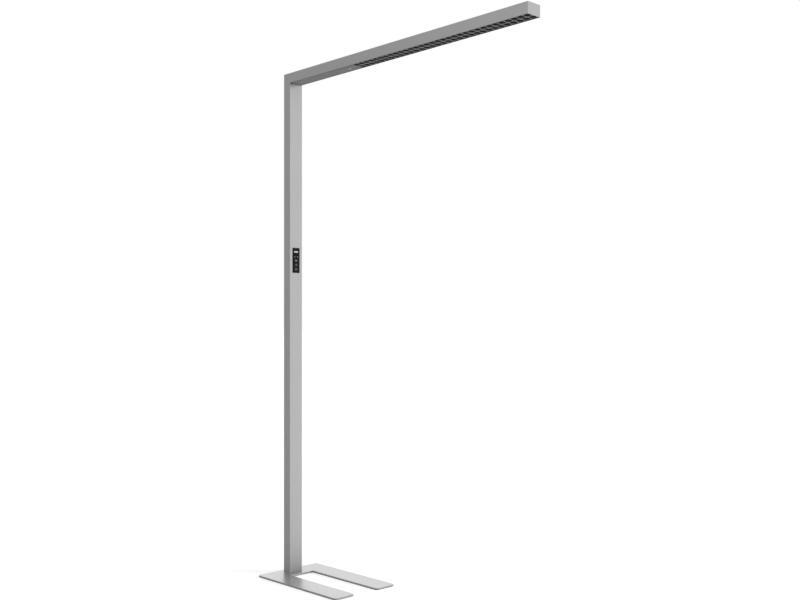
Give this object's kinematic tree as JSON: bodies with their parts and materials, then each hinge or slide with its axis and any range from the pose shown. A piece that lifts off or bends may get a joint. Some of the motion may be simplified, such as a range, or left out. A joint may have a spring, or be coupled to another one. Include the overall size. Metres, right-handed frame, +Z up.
{
  "type": "office floor lamp",
  "caption": "Free-standing office floor lamp: U-shaped base plate, slim square-edged mast with a key panel, and a long cantilevered head with a black cell louvre below and an opal strip above.",
  "frame": {"origin": "on the floor, on the mast's centre line, in the underside of the base's underlay", "axes": "+Z up along the mast, +X from the mast along the head and the base's open prongs, +Y across the lamp"},
  "size_m": [1.2631, 0.2944, 2],
  "materials": {
    "silver_profile": "fine silver-grey powder coat on extruded aluminium",
    "silver_base": "satin silver-grey powder coat on steel plate",
    "underlay": "matt non-slip rubber",
    "louvre_black": "satin black moulded plastic",
    "panel_black": "fine-grained black plastic",
    "key_black": "matt black plastic",
    "window_grey": "pale translucent plastic",
    "sensor_white": "pearly white plastic lens",
    "opal": "opal diffusing plastic",
    "clear": "clear moulded optic",
    "steel": "zinc-plated steel",
    "bracket_metal": "plain die-cast aluminium",
    "board_white": "white solder mask",
    "board_green": "green solder mask",
    "switch_dark": "dark moulded plastic",
    "driver_white": "plain white plastic case",
    "housing_grey": "grey moulded plastic",
    "terminal_white": "off-white moulded plastic",
    "lead_black": "smooth black sheath",
    "lead_grey": "smooth grey sheath",
    "gland_black": "black polyamide"
  },
  "bodies": {
    "lamp": {"base_plate": "silver_base", "floor_underlay": "underlay", "foot_block": "bracket_metal", "terminal_block": "terminal_white", "base_screws": "steel", "terminal_screw": "steel", "mast_profile": "silver_profile", "cable_gland": "gland_black", "gland_nut": "gland_black", "foot_block_screws": "steel", "corner_mast_screws": "steel", "corner_bracket": "bracket_metal", "corner_grub_screws": "steel", "head_profile": "silver_profile", "end_cap": "silver_profile", "bottom_cover": "silver_profile", "uplight_cover": "opal", "louvre_1": "louvre_black", "lens_array_1": "clear", "downlight_board_1": "board_white", "uplight_board_1": "board_white", "louvre_2": "louvre_black", "lens_array_2": "clear", "downlight_board_2": "board_white", "uplight_board_2": "board_white", "louvre_3": "louvre_black", "lens_array_3": "clear", "downlight_board_3": "board_white", "uplight_board_3": "board_white", "louvre_4": "louvre_black", "lens_array_4": "clear", "downlight_board_4": "board_white", "uplight_board_4": "board_white", "downlight_board_screws": "steel", "uplight_board_screws": "steel", "driver": "driver_white", "driver_screws": "steel", "sensor_lens": "sensor_white", "sensor_housing": "housing_grey", "sensor_board": "board_green", "sensor_lead": "lead_grey", "downlight_lead": "lead_grey", "uplight_lead": "lead_grey", "mains_lead": "lead_black", "keypad_lead": "lead_grey", "panel_frame": "panel_black", "panel_window": "window_grey", "keypad_board": "board_green", "keypad_board_screws": "steel", "tact_switches": "switch_dark"},
    "key_lower": {"key_lower": "key_black"},
    "key_middle": {"key_middle": "key_black"},
    "key_upper": {"key_upper": "key_black"},
    "key_left": {"key_left": "key_black"},
    "key_right": {"key_right": "key_black"}
  },
  "joints": [
    {"name": "key_lower_press", "type": "slide", "parent": "lamp", "child": "key_lower", "axis": [-1, 0, 0], "range_m": [0, 0.0008], "stiffness_N_per_m": 1500, "springref_m": -0.0002},
    {"name": "key_middle_press", "type": "slide", "parent": "lamp", "child": "key_middle", "axis": [-1, 0, 0], "range_m": [0, 0.0008], "stiffness_N_per_m": 1500, "springref_m": -0.0002},
    {"name": "key_upper_press", "type": "slide", "parent": "lamp", "child": "key_upper", "axis": [-1, 0, 0], "range_m": [0, 0.0008], "stiffness_N_per_m": 1500, "springref_m": -0.0002},
    {"name": "key_left_press", "type": "slide", "parent": "lamp", "child": "key_left", "axis": [-1, 0, 0], "range_m": [0, 0.0008], "stiffness_N_per_m": 1500, "springref_m": -0.0002},
    {"name": "key_right_press", "type": "slide", "parent": "lamp", "child": "key_right", "axis": [-1, 0, 0], "range_m": [0, 0.0008], "stiffness_N_per_m": 1500, "springref_m": -0.0002}
  ]
}
